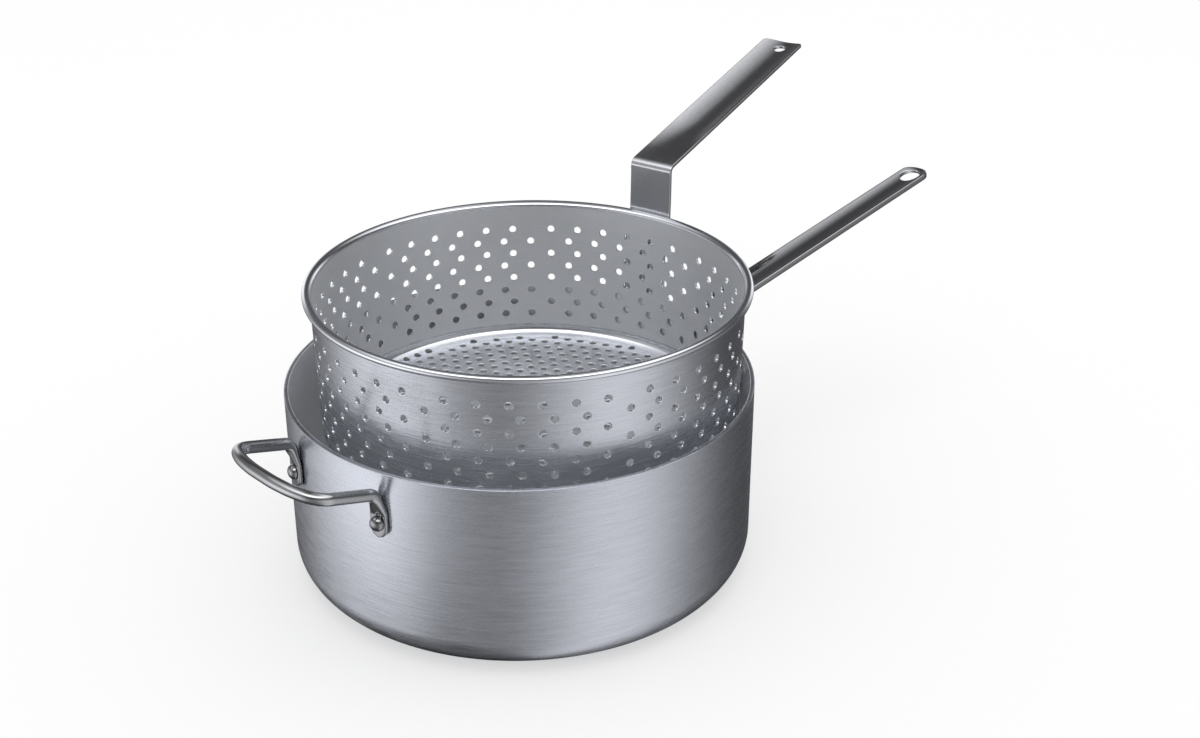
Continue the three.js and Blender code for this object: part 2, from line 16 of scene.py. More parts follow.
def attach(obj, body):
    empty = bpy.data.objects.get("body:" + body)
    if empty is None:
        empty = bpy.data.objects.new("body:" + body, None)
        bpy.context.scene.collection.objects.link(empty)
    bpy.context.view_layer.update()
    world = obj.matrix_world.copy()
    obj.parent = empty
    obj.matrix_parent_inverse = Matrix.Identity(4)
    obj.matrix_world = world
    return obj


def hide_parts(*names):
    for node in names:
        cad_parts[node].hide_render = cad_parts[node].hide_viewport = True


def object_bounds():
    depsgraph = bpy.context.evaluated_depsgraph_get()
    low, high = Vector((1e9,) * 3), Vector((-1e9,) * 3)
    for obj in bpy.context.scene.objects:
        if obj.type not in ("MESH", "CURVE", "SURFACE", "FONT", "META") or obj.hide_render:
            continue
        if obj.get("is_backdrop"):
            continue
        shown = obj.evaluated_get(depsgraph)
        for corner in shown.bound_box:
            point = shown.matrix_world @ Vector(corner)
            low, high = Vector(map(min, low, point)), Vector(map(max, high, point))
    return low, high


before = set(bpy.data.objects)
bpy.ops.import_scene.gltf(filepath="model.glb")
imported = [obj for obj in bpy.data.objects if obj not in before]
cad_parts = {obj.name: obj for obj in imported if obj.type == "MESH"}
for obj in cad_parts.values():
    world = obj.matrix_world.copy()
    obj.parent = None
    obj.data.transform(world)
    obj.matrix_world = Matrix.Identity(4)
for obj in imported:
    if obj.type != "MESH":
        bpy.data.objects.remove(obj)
cad_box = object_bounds()

MM = 0.001
GAP = 0.3

# Pot
POT_RADIUS = 156
POT_HEIGHT = 132.5
POT_WALL = 3
POT_FLOOR = 3.5
POT_CORNER = 23.5
RIM_ROUND = 0.5
TURNED_STEPS = 192  # sides of the turned pot
CORNER_STEPS = 16
RIM_STEPS = 3

# Basket
BEAD_RADIUS = 147.4
BEAD_TUBE = 2.4
BASKET_SHEET = 1.5
BASKET_DEPTH = 102
BASKET_CORNER = 8
BASKET_TAPER = 0.023
BASKET_PLAY = 0.6
DRAIN_RISE = 62.3
BEAD_SKIRT = 5  # the bead's part of the wall ends this far below its centre
BEAD_LEAVES = 2.6  # the outside leaves the wall for the roll this far below its centre
BEAD_FROM = -145  # the roll starts at this angle, in degrees
BEAD_LEAD_DROP = 1  # the inside joins the wall this far below its centre
BEAD_STEPS = 22
LEAD_STEPS = 10

# Perforations of the wall and the floor
HOLE_RADIUS = 2.6
HOLE_EDGE = 0.3
HOLE_ROWS = 8
HOLE_ROW_PITCH = 9.5
HOLE_FIRST_ROW = 18.3
HOLE_GROUPS = 7
HOLES_PER_GROUP = 6
HOLE_STEP = math.radians(8)
HOLE_ROW_SHIFT = math.radians(5.3)
HOLE_FIRST_COLUMN = math.radians(-15.65)
PATCH_LEAD = math.radians(3)  # a patch of wall starts this far before its first hole
PATCH_STEPS = 24
PATCH_LEVELS = 19
WALL_HOLE_SIDES = 20
WALL_HOLE_CLEAR = 0.9  # from a hole's ring to the other points of the sheet
FLOOR_HOLE_SIDES = 16
FLOOR_HOLE_CLEAR = 0.6
FLOOR_HOOPS = 4  # steps over the floor's share of the rounded corner
HALF_CORNER = 45  # degrees of the rounded corner that belong to the floor's sheet
HALF_CORNER_STEPS = 8
FLOOR_PITCH = 10.05  # between neighbours of the floor's triangular pattern
FLOOR_TURN = math.radians(-14.15)  # direction of its rows
FLOOR_SHIFT = (-3.05, 2.62)  # one of its holes, from the basket's axis
FLOOR_MARGIN = 3.5  # from a hole's centre to the edge of the floor's sheet

# Strap
STRAP_ANGLE = math.radians(12.27)
STRAP_WIDTH = 33.3
STRAP_THICKNESS = 2.5
STRAP_BEND_RISE = 38.5
STRAP_BEND = 6
STRAP_REACH = 346.5
STRAP_SLOPE = math.radians(13.3)
STRAP_DISH = 4
STRAP_DISH_RUN = 70
STRAP_TIP_RUN = 8
STRAP_HOLE = 4.5
STRAP_HOLE_INSET = 11.6
STRAP_JOG_TOP = 4
STRAP_JOG_BOTTOM = 12
STRAP_JOG_ROUND = 5
STRAP_EDGE = 0.55
STRAP_COLUMNS = 15
STRAP_HOLE_SIDES = 32
STRAP_TIP_ROWS = (2, 4.5)  # extra rows of points in the round tip
STRAP_TIP_FILL = 0.8  # square of the tip's size within which they lie
STRAP_HOLE_CLEAR = 0.8  # from the hole's ring to the other points of the sheet

# Long handle
HANDLE_WIDTH = 22.2
HANDLE_SHEET = 2
HANDLE_SKIRT = 5
HANDLE_DISH = 1.8
HANDLE_DROP = 12.2
HANDLE_SLOPE = math.radians(10.35)
HANDLE_REACH = 437.5
HANDLE_BEND = 12
HANDLE_FLARE = 40
HANDLE_FOLD = 2.4  # width of the folded edge
FOLD_ROUND = 1.2
FOLD_ANGLES = np.linspace(0.3, math.pi / 2, 5)
INNER_ROUND = 0.6  # the skirt's inside starts to bend this far below the sheet
INNER_SHARE = 0.6  # and ends the bend at this share of its distance from the rim's ring
SKIRT_ROUND = 0.5  # rounding of the skirt's lower edges
SKIRT_ROUND_MIDDLE = 0.15  # from its middle point to the sides of the square corner
LEAST_SKIRT = 0.02  # share of its depth that the skirt keeps on the flat plate
HANDLE_COLUMNS = 11
EYE_LENGTH = 19
EYE_WIDTH = 14
EYE_INSET = 15
EYE_LIP = 0.9
EYE_LIP_DEPTH = 3.9
EYE_LIP_ROUND = 0.3
EYE_LIP_ANGLES = np.linspace(0.4, math.pi / 2, 4)
EYE_SIDES = 40
EYE_CLEAR = 1.25  # square of the eye's size within which the sheet has no other points
PLATE_WIDTH = 42
PLATE_SHEET = 2.5
PLATE_BOTTOM = 66
PLATE_ROUND = 16
PLATE_FLAT = 0.65
PLATE_GRID = 3  # between points of the sheet in the plate's round foot
PLATE_RIVETS = [(-12, 40), (12, 40), (0, 57)]  # across, below the rim

# Helper handle
ROD = 8
BOW_REACH = 203.3
BOW_HALF_WIDTH = 43.5
BOW_DROP = 12.1
BOW_TILT = math.radians(16.4)
BOW_CORNER = 15
BOW_SAG = 9.5
BOW_CURVE = 50
BOW_BENDS = (0.25, 0.6)
BOW_ELBOW = 7
ELBOW_CLEAR = 1
TAB_WIDTH = 12
TAB_THICKNESS = 3.4
TAB_BOTTOM = 43
TAB_RIVET_DROP = 33
TAB_SQUARENESS = 0.45
TAB_STOPS = (0.75, 0.5)  # rings of the straight tab, as shares of its length
TAB_END_ANGLES = np.linspace(math.pi / 2, 0.12, 9)
TAB_LEAST = 0.1  # share of the width that the round end keeps
ROD_SIDES = 28
ROD_TURN_STEP = 5  # degrees between the rings of a bend

# Rivets
RIVET_SHANK = 6
RIVET_HEAD = 10
RIVET_DOME = 4.4
RIVET_EDGE = 0.5
RIVET_SIDES = 32
DOME_STEPS = 8
END_STEPS = 32  # steps round the ends of the handle and the strap

# Camera
CAMERA_PLACE = (-0.6554, -0.7617, 0.6296)
CAMERA_HEADING = (0.6914, 0.7225)
CAMERA_PITCH = math.radians(26.225)
CAMERA_LENS = 50.31
CAMERA_SENSOR = 36


def smooth(x, low, high):
    share = np.clip((x - low) / (high - low), 0, 1)
    return share * share * (3 - 2 * share)


def lerp(a, b, share):
    return a + (b - a) * share


def circle(count, start=0.0):
    """Angles of a closed ring, anticlockwise."""
    return start + 2 * np.pi * np.arange(count) / count


class Piece:
    """Points in mm, faces and corner normals of a mesh that is being put together."""

    def __init__(self):
        self.points = []
        self.faces = []
        self.normals = []
        self.zones = []

    def add(self, points, faces, normals=None, zones=None):
        """Adds faces; a missing or zero normal is worked out from the faces later.

        A face's zone is the number of its finish.
        """
        start = len(self.points)
        self.points += [tuple(p) for p in points]
        self.faces += [[start + i for i in f] for f in faces]
        self.normals += normals or [[(0, 0, 0)] * len(f) for f in faces]
        self.zones += zones or [0] * len(faces)

    def build(self, name, finishes, sharp=40):
        """The object: points that coincide are merged, and faces that vanish are left out."""
        points = np.array(self.points)
        _, first, back = np.unique(points.round(4), axis=0, return_index=True, return_inverse=True)
        back = back.ravel()
        faces = []
        normals = []
        zones = []
        for face, corner, zone in zip(self.faces, self.normals, self.zones):
            kept = {}
            for i, n in zip(face, corner):
                kept.setdefault(int(back[i]), n)
            if len(kept) > 2:
                faces.append(list(kept))
                normals += kept.values()
                zones.append(zone)
        mesh = bpy.data.meshes.new(name)
        mesh.from_pydata((points[first] * MM).tolist(), [], faces)
        mesh.shade_smooth()
        mesh.set_sharp_from_angle(angle=math.radians(sharp))
        if np.any(normals):
            mesh.normals_split_custom_set([tuple(map(float, n)) for n in normals])
        for finish in finishes:
            mesh.materials.append(finish)
        mesh.polygons.foreach_set("material_index", zones)
        obj = bpy.data.objects.new(name, mesh)
        bpy.context.scene.collection.objects.link(obj)
        return obj


def lathe(piece, profile, angles, zone=0):
    """A surface turned about Z; its outside is on the right of the profile's (r, z) points."""
    r, z = np.array(profile).T
    count = len(angles)
    grid = np.stack(
        [np.outer(np.cos(angles), r), np.outer(np.sin(angles), r), np.tile(z, (count, 1))], -1
    )
    steps = len(profile)
    faces = []
    for i in range(count):
        a, b = i * steps, (i + 1) % count * steps
        faces += [(a + k, b + k, b + k + 1, a + k + 1) for k in range(steps - 1)]
    piece.add(grid.reshape(-1, 3), faces, zones=[zone] * len(faces))


def loft(piece, rings):
    """A closed solid skinned through equal rings, each anticlockwise seen from ahead."""
    count = len(rings[0])
    faces = []
    for i in range(len(rings) - 1):
        for k in range(count):
            a, b = i * count + k, i * count + (k + 1) % count
            faces.append((a, b, b + count, a + count))
    last = (len(rings) - 1) * count
    faces.append(tuple(reversed(range(count))))
    faces.append(tuple(last + k for k in range(count)))
    piece.add(np.vstack(rings), faces)


def arc(r, z, radius, start, end, steps):
    """Points of an arc about (r, z), angles in degrees."""
    turn = np.radians(np.linspace(start, end, steps + 1))
    return np.stack([r + radius * np.cos(turn), z + radius * np.sin(turn)], 1).tolist()


def quarter_round(radius, angles):
    """Steps (outward, down) over a quarter round, at these angles."""
    return [(radius * math.sin(a), radius * (1 - math.cos(a))) for a in angles]


def rounded_edge(radius, thickness, steps=3):
    """Steps (outward, down) from a sheet's face over its rounded edge to its back."""
    over = quarter_round(radius, np.linspace(0, np.pi / 2, steps + 1)[1:])
    return over + [(out, thickness - down) for out, down in reversed(over)]


def enclosed(triangles, links):
    """The triangles that an odd number of links shuts off from the outside."""
    fixed = {frozenset(link) for link in links}
    owners = {}
    for number, f in enumerate(triangles):
        for i in range(3):
            owners.setdefault(frozenset((f[i - 1], f[i])), []).append(number)
    inside = {}
    for side, found in owners.items():
        if len(found) == 1:
            inside.setdefault(found[0], side in fixed)
    queue = list(inside)
    while queue:
        number = queue.pop()
        f = triangles[number]
        for i in range(3):
            side = frozenset((f[i - 1], f[i]))
            for other in owners[side]:
                if other not in inside:
                    inside[other] = inside[number] != (side in fixed)
                    queue.append(other)
    return [f for number, f in enumerate(triangles) if inside[number]]


def sheet(piece, rings, fill, place, thickness, edges, back_zone=0, edge_zone=0):
    """A sheet of metal with holes, flat in its own (s, t) and carried to its place.

    rings: the outline, anticlockwise, then the holes, clockwise.
    edges: for each ring, its steps from face to back, or None where another surface joins on.
    place: carries (s, t) points at a depth below the face to the piece's frame.
    """
    rings = [np.asarray(ring, float) for ring in rings]
    flat = np.vstack([*rings, np.asarray(fill, float).reshape(-1, 2)])
    links = []
    starts = []
    total = 0
    for ring in rings:
        count = len(ring)
        starts.append(total)
        links += [(total + i, total + (i + 1) % count) for i in range(count)]
        total += count
    found = delaunay_2d_cdt([Vector(p) for p in flat.tolist()], links, [], 0, 1e-6, True)
    source = [origin[0] for origin in found[3]]
    triangles = enclosed([[source[i] for i in f] for f in found[2]], links)

    def normals_at(depth, reach=0.02):
        along = place(flat + (reach, 0), depth) - place(flat - (reach, 0), depth)
        across = place(flat + (0, reach), depth) - place(flat - (0, reach), depth)
        normal = np.cross(along, across)
        return normal / np.linalg.norm(normal, axis=1)[:, None]

    count = len(flat)
    face_normals = normals_at(0)
    back_normals = -normals_at(thickness)
    points = [place(flat, 0), place(flat, thickness)]
    faces = list(triangles)
    normals = [[face_normals[i] for i in f] for f in triangles]
    for f in triangles:
        turned = f[::-1]
        faces.append([count + i for i in turned])
        normals.append([back_normals[i] for i in turned])
    total = 2 * count
    for ring, start, edge in zip(rings, starts, edges):
        if edge is None:
            continue
        size = len(ring)
        ahead = np.roll(ring, -1, 0) - np.roll(ring, 1, 0)
        outward = np.stack([ahead[:, 1], -ahead[:, 0]], 1)
        outward /= np.linalg.norm(outward, axis=1)[:, None]
        levels = [start]
        for out, down in edge:
            points.append(place(ring + outward * out, down))
            levels.append(total)
            total += size
        levels.append(count + start)
        for upper, lower in zip(levels, levels[1:]):
            for i in range(size):
                j = (i + 1) % size
                faces.append((lower + i, lower + j, upper + j, upper + i))
                normals.append([(0, 0, 0)] * 4)
    count = len(triangles)
    zones = [0] * count + [back_zone] * count + [edge_zone] * (len(faces) - 2 * count)
    piece.add(np.vstack(points), faces, normals, zones)


class Path:
    """A line in the XZ plane with rounded corners, by the distance along it."""

    def __init__(self, corners, rounds, step=0.05):
        corners = np.array(corners, float)
        runs = np.diff(corners, axis=0)
        headings = np.arctan2(runs[:, 1], runs[:, 0])
        lengths = np.hypot(runs[:, 0], runs[:, 1])
        marks = [0.0]
        turns = [headings[0]]
        spent = 0.0
        self.bends = []
        for i, radius in enumerate(rounds):
            turn = headings[i + 1] - headings[i]
            cut = radius * math.tan(abs(turn) / 2)
            start = marks[-1] + lengths[i] - spent - cut
            self.bends.append((start, start + radius * abs(turn)))
            marks += self.bends[-1]
            turns += [headings[i], headings[i + 1]]
            spent = cut
        self.length = marks[-1] + lengths[-1] - spent
        self.s = np.linspace(0, self.length, int(self.length / step))
        self.heading = np.interp(self.s, [*marks, self.length], [*turns, headings[-1]])
        move = np.diff(self.s)
        middle = (self.heading[1:] + self.heading[:-1]) / 2
        self.x = corners[0, 0] + np.append(0, np.cumsum(move * np.cos(middle)))
        self.z = corners[0, 1] + np.append(0, np.cumsum(move * np.sin(middle)))

    def at(self, s):
        return [np.interp(s, self.s, values) for values in (self.x, self.z, self.heading)]

    def stops(self, low, high, straight=4.0, bent=0.6):
        """Distances for a mesh, closer together at the bends."""
        marks = [*np.arange(low, high, straight), high]
        for start, end in self.bends:
            marks = [s for s in marks if not start - bent < s < end + bent]
            marks += [*np.linspace(start, end, int((end - start) / bent) + 2)]
        return np.array(sorted(s for s in marks if low <= s <= high))

    def carry(self, s, across, height):
        """Points at a height to the left of the path."""
        x, z, heading = self.at(s)
        return np.stack([x - np.sin(heading) * height, across, z + np.cos(heading) * height], -1)


def grid_inside(along, across, keep):
    """Points of a grid that the test keeps."""
    points = np.array([(s, t) for s in along for t in across])
    return points[keep(points)]


def ring_hole(s, t, radius_s, radius_t, count):
    """A hole's ring, clockwise."""
    turn = -circle(count)
    return np.stack([s + radius_s * np.cos(turn), t + radius_t * np.sin(turn)], 1)


# Finishes

INSIDE, POLISHED, PUNCHED = 1, 2, 3  # zones of the pot and the basket; the outside is 0
NOISE_RANGE = (0.3, 0.7)  # of the noise's values
CLOUD_SHARE = 0.25  # of the clouds in the brush marks
BRUSH_DEPTH = 0.2


def add_node(tree, kind, **values):
    node = tree.nodes.new(kind)
    for key, value in values.items():
        if key in node.inputs:
            node.inputs[key].default_value = value
        else:
            setattr(node, key, value)
    return node


def metal(name, colour, roughness, streaks, depth, anisotropy, spread, satin=0.0, turn=0.0):
    """A brushed metal.

    streaks: lengths of the brush marks along X, Y and Z in mm, turned about Z.
    depth: strength of the marks' relief.
    spread: share by which roughness and colour differ from mark to mark.
    satin: share of the light that is scattered evenly.
    """
    finish = bpy.data.materials.new(name)
    finish.use_nodes = True
    tree = finish.node_tree
    shader = tree.nodes["Principled BSDF"]
    shader.inputs["Metallic"].default_value = 1 - satin
    shader.inputs["Anisotropic"].default_value = anisotropy
    shader.inputs["Anisotropic Rotation"].default_value = 0.25
    place = add_node(tree, "ShaderNodeTexCoord")
    stretch = add_node(tree, "ShaderNodeMapping", vector_type="TEXTURE", Rotation=(0, 0, turn))
    stretch.inputs["Scale"].default_value = [length * MM for length in streaks]
    brush = add_node(tree, "ShaderNodeTexNoise", Scale=1.0, Detail=4.0, Roughness=0.65)
    cloud = add_node(tree, "ShaderNodeTexNoise", Scale=18.0, Detail=3.0, Roughness=0.55)
    tree.links.new(place.outputs["Object"], stretch.inputs["Vector"])
    tree.links.new(stretch.outputs["Vector"], brush.inputs["Vector"])
    tree.links.new(place.outputs["Object"], cloud.inputs["Vector"])
    both = add_node(tree, "ShaderNodeMix", data_type="FLOAT")
    both.inputs[0].default_value = CLOUD_SHARE
    tree.links.new(brush.outputs["Fac"], both.inputs[2])
    tree.links.new(cloud.outputs["Fac"], both.inputs[3])

    rough = add_node(tree, "ShaderNodeMapRange")
    rough.inputs["From Min"].default_value = NOISE_RANGE[0]
    rough.inputs["From Max"].default_value = NOISE_RANGE[1]
    rough.inputs["To Min"].default_value = roughness * (1 - spread)
    rough.inputs["To Max"].default_value = roughness * (1 + spread)
    tree.links.new(both.outputs[0], rough.inputs["Value"])
    tree.links.new(rough.outputs["Result"], shader.inputs["Roughness"])

    tone = add_node(tree, "ShaderNodeValToRGB")
    dark, light = tone.color_ramp.elements
    dark.position, light.position = NOISE_RANGE
    dark.color = [c * (1 - spread / 2) for c in colour] + [1]
    light.color = [min(1, c * (1 + spread / 2)) for c in colour] + [1]
    tree.links.new(both.outputs[0], tone.inputs["Fac"])
    tree.links.new(tone.outputs["Color"], shader.inputs["Base Color"])

    bump = add_node(tree, "ShaderNodeBump", Strength=depth, Distance=BRUSH_DEPTH * MM)
    tree.links.new(brush.outputs["Fac"], bump.inputs["Height"])
    tree.links.new(bump.outputs["Normal"], shader.inputs["Normal"])
    if anisotropy:
        tangent = add_node(tree, "ShaderNodeTangent", direction_type="RADIAL", axis="Z")
        tree.links.new(tangent.outputs["Tangent"], shader.inputs["Tangent"])
    return finish


ALUMINIUM = (0.59, 0.61, 0.655)
BASKET_ALUMINIUM = (0.62, 0.64, 0.68)
# painted highlight: a lighter copy of the basket's aluminium for its glints
POLISHED_PAINTED_GLINT = (0.76, 0.78, 0.81)
# painted light: the basket's inside is a lighter copy of its aluminium, lifting its shade
BASKET_SATIN_PAINTED_LIGHT = (0.73, 0.74, 0.75)
# painted light: the floor holes' walls are a lighter copy of the aluminium
PUNCHED_PAINTED_LIGHT = (0.8, 0.81, 0.83)
# painted light: the pot's inside is a lighter copy of its aluminium, lifting its shade
POT_SATIN_PAINTED_LIGHT = (0.84, 0.85, 0.86)
STEEL = (0.56, 0.565, 0.575)
# painted shade: the helper's rod is a darker copy of the polished steel
ROD_STEEL_PAINTED_SHADE = (0.44, 0.445, 0.45)
RIVET_STEEL = (0.3, 0.3, 0.305)
pot_metal = metal(
    "pot_aluminium",
    ALUMINIUM,
    roughness=0.28,
    streaks=(26, 26, 1.2),
    depth=0.5,
    anisotropy=0.75,
    spread=0.26,
)
# The pot's inside: the satin share is a real finish, and the lighter colour is painted light on
# the shaded inside.
pot_satin_painted_light = metal(
    "pot_inside_painted_light",
    POT_SATIN_PAINTED_LIGHT,
    roughness=0.42,
    streaks=(20, 20, 0.7),
    depth=0.2,
    anisotropy=0.3,
    spread=0.15,
    satin=0.6,
)
basket_metal = metal(
    "basket_aluminium",
    BASKET_ALUMINIUM,
    roughness=0.26,
    streaks=(26, 26, 1.4),
    depth=0.5,
    anisotropy=0.7,
    spread=0.28,
)
# The basket's inside: the satin share is a real finish, and the lighter colour is painted light on
# the shaded inside.
basket_satin_painted_light = metal(
    "basket_inside_painted_light",
    BASKET_SATIN_PAINTED_LIGHT,
    roughness=0.36,
    streaks=(20, 20, 0.7),
    depth=0.1,
    anisotropy=0.3,
    spread=0.08,
    satin=0.24,
)
# Bead, wall hole edges and the inner half of the corner: the low roughness is a real polish, and
# the lighter colour is painted highlight that brightens their glints.
polished_painted_glint = metal(
    "basket_polished_painted_glint",
    POLISHED_PAINTED_GLINT,
    roughness=0.16,
    streaks=(26, 26, 0.7),
    depth=0.05,
    anisotropy=0,
    spread=0.1,
)
# The floor holes' sheared walls: a lighter, mostly diffuse copy of the aluminium, which is painted
# light on the walls seen through the holes.
punched_painted_light = metal(
    "basket_punched_painted_light",
    PUNCHED_PAINTED_LIGHT,
    roughness=0.4,
    streaks=(3, 3, 3),
    depth=0.05,
    anisotropy=0,
    spread=0.1,
    satin=0.7,
)
strap_metal = metal(
    "strap_steel",
    STEEL,
    roughness=0.14,
    streaks=(60, 1.2, 1.2),
    depth=0.08,
    anisotropy=0,
    spread=0.2,
    turn=STRAP_ANGLE,
)
steel = metal(
    "polished_steel",
    STEEL,
    roughness=0.09,
    streaks=(40, 1.2, 1.2),
    depth=0.06,
    anisotropy=0,
    spread=0.2,
)
# The helper's rod: a darker copy of the polished steel, painted shade that tones down its
# reflections.
rod_steel_painted_shade = metal(
    "rod_steel_painted_shade",
    ROD_STEEL_PAINTED_SHADE,
    roughness=0.05,
    streaks=(40, 1.2, 1.2),
    depth=0.06,
    anisotropy=0,
    spread=0.2,
)
rivet_steel = metal(
    "rivet_steel",
    RIVET_STEEL,
    roughness=0.08,
    streaks=(3, 3, 3),
    depth=0.1,
    anisotropy=0,
    spread=0.3,
)


# Pot


def make_pot():
    inside = POT_RADIUS - POT_WALL
    inner_corner = POT_CORNER - POT_WALL
    rim_middle = POT_HEIGHT - RIM_ROUND
    inner_middle = (inside - inner_corner, POT_FLOOR + inner_corner)
    rim = arc(POT_RADIUS - RIM_ROUND, rim_middle, RIM_ROUND, 0, 90, RIM_STEPS)
    wall = arc(POT_RADIUS - POT_CORNER, POT_CORNER, POT_CORNER, -90, 0, CORNER_STEPS)
    within = [
        *arc(inside + RIM_ROUND, rim_middle, RIM_ROUND, 90, 180, RIM_STEPS),
        *arc(*inner_middle, inner_corner, 0, -90, CORNER_STEPS),
        (0, POT_FLOOR),
    ]
    piece = Piece()
    lathe(piece, [(0, 0), *wall, *rim, within[0]], circle(TURNED_STEPS))
    # The inside takes the lighter copy of the aluminium: painted light on its shade.
    lathe(piece, within, circle(TURNED_STEPS), INSIDE)
    return piece.build("pot", [pot_metal, pot_satin_painted_light])


def wall_matrix(angle, radius, height):
    """Carries what is made along +X to its place on a round wall."""
    return Matrix.Rotation(angle, 4, "Z") @ Matrix.Translation((radius * MM, 0, height * MM))


def make_rivet(name, grip, place):
    """A domed rivet about +X with its head's underside at x = 0."""
    shank = RIVET_SHANK / 2
    head = RIVET_HEAD / 2
    turn = np.linspace(0, np.pi / 2, DOME_STEPS + 1)[:-1]
    bulge = RIVET_DOME - RIVET_EDGE
    dome = [(head * math.cos(a), RIVET_EDGE + bulge * math.sin(a)) for a in turn]
    profile = [(0, -grip), (shank, -grip), (shank, 0), (head, 0), *dome, (0, RIVET_DOME)]
    piece = Piece()
    lathe(piece, profile, circle(RIVET_SIDES))
    obj = piece.build(name, [rivet_steel])
    obj.data.transform(place @ Matrix.Rotation(math.pi / 2, 4, "Y"))
    return obj


def make_long_handle():
    wall = POT_RADIUS + GAP
    top = POT_HEIGHT - HANDLE_DROP
    rise = math.tan(HANDLE_SLOPE)
    root = (wall, top + GAP * rise)
    foot = (wall, POT_HEIGHT - PLATE_BOTTOM)
    tip = (HANDLE_REACH, top + (HANDLE_REACH - POT_RADIUS) * rise)
    path = Path([foot, root, tip], [HANDLE_BEND])
    half = HANDLE_WIDTH / 2
    plate_half = PLATE_WIDTH / 2
    plate_curve = plate_half**2 / (2 * wall)
    plate_run = root[1] - foot[1]

    def channel(s):
        return smooth(s, plate_run * PLATE_FLAT, plate_run + HANDLE_FLARE)

    def wide(s):
        return lerp(plate_half, half, channel(s))

    def place(points, depth):
        s, t = points.T
        share = channel(s)
        face = lerp(-HANDLE_DISH * share, plate_curve * (1 - share), (t / wide(s)) ** 2)
        top_sheet = lerp(PLATE_SHEET, HANDLE_SHEET, share)
        down = min(depth, HANDLE_SHEET) / HANDLE_SHEET * top_sheet
        down = down + max(0, depth - HANDLE_SHEET) * np.maximum(share, LEAST_SKIRT)
        flatten = np.clip(1 - down / HANDLE_SKIRT * share, 0, 1)
        return path.carry(s, t, face * flatten - down)

    # The rim folds over at its edge, runs down as the skirt and comes back up inside it.
    fold, skirt, blunt, middle = HANDLE_FOLD, HANDLE_SKIRT, SKIRT_ROUND, SKIRT_ROUND_MIDDLE
    shoulder = fold - FOLD_ROUND
    inner = fold - HANDLE_SHEET
    bend = quarter_round(FOLD_ROUND, FOLD_ANGLES)
    edge = [
        (shoulder, 0),
        *((shoulder + out, down) for out, down in bend),
        (fold, skirt - blunt),
        (fold - middle, skirt - middle),
        (fold - blunt, skirt),
        (inner + blunt, skirt),
        (inner + middle, skirt - middle),
        (inner, skirt - blunt),
        (inner, HANDLE_SHEET + INNER_ROUND),
        (inner * INNER_SHARE, HANDLE_SHEET + middle),
    ]
    lip = EYE_LIP
    lip_end = EYE_LIP_DEPTH - EYE_LIP_ROUND
    eye_edge = [
        *quarter_round(lip, EYE_LIP_ANGLES),
        (lip, lip_end),
        (lip - middle, EYE_LIP_DEPTH),
        (EYE_LIP_ROUND, EYE_LIP_DEPTH),
        (EYE_LIP_ROUND / 2, lip_end),
        (EYE_LIP_ROUND / 2, HANDLE_SHEET + EYE_LIP_ROUND),
    ]

    tip_s = path.length - half
    along = path.stops(PLATE_ROUND, tip_s)
    turn = np.linspace(-np.pi / 2, np.pi / 2, END_STEPS + 1)[1:-1]
    tip_arc = np.stack([tip_s + (half - fold) * np.cos(turn), (half - fold) * np.sin(turn)], 1)
    foot_arc = np.stack(
        [PLATE_ROUND - (PLATE_ROUND - fold) * np.cos(turn), -(plate_half - fold) * np.sin(turn)], 1
    )
    side = np.stack([along, wide(along) - fold], 1)
    rim = np.vstack([side * (1, -1), tip_arc, side[::-1], foot_arc])
    eye = (path.length - EYE_INSET, 0.0, EYE_LENGTH / 2 + lip, EYE_WIDTH / 2 + lip)

    def in_eye(points):
        return ((points[:, 0] - eye[0]) / eye[2]) ** 2 + (points[:, 1] / eye[3]) ** 2 < EYE_CLEAR

    shares = np.linspace(-1, 1, HANDLE_COLUMNS)[1:-1]
    rows = [(np.full(len(shares), s), shares * (wide(s) - fold)) for s in along[1:-1]]
    fill = np.vstack([np.stack(row, 1) for row in rows])
    fill = fill[~in_eye(fill)]
    foot_along = PLATE_GRID * np.arange(1.5, PLATE_ROUND / PLATE_GRID)
    foot_fill = [(s, PLATE_GRID * k) for s in foot_along for k in range(-3, 4)]
    piece = Piece()
    sheet(
        piece,
        [rim, ring_hole(*eye, EYE_SIDES)],
        np.vstack([fill, foot_fill]),
        place,
        HANDLE_SHEET,
        [edge, eye_edge],
    )
    return piece.build("long_handle", [steel])


def rounded_line(corners, step):
    """Points along a 3-D line; each corner is (place, radius), and the ends have no radius."""
    places = [np.array(place, float) for place, _ in corners]
    points = [places[0]]
    for i in range(1, len(corners) - 1):
        radius = corners[i][1]
        back = places[i - 1] - places[i]
        ahead = places[i + 1] - places[i]
        back /= np.linalg.norm(back)
        ahead /= np.linalg.norm(ahead)
        turn = math.pi - math.acos(np.clip(back @ ahead, -1, 1))
        inward = (back + ahead) / np.linalg.norm(back + ahead)
        centre = places[i] + inward * radius / math.cos(turn / 2)
        start = places[i] + back * radius * math.tan(turn / 2) - centre
        side = ahead + back * math.cos(turn)
        side /= np.linalg.norm(side)
        count = max(2, math.ceil(math.degrees(turn) / step))
        for share in np.linspace(0, 1, count + 1):
            angle = turn * share
            outward = start / np.linalg.norm(start)
            points.append(centre + radius * (outward * math.cos(angle) - back * math.sin(angle)))
    points.append(places[-1])
    return np.array(points)


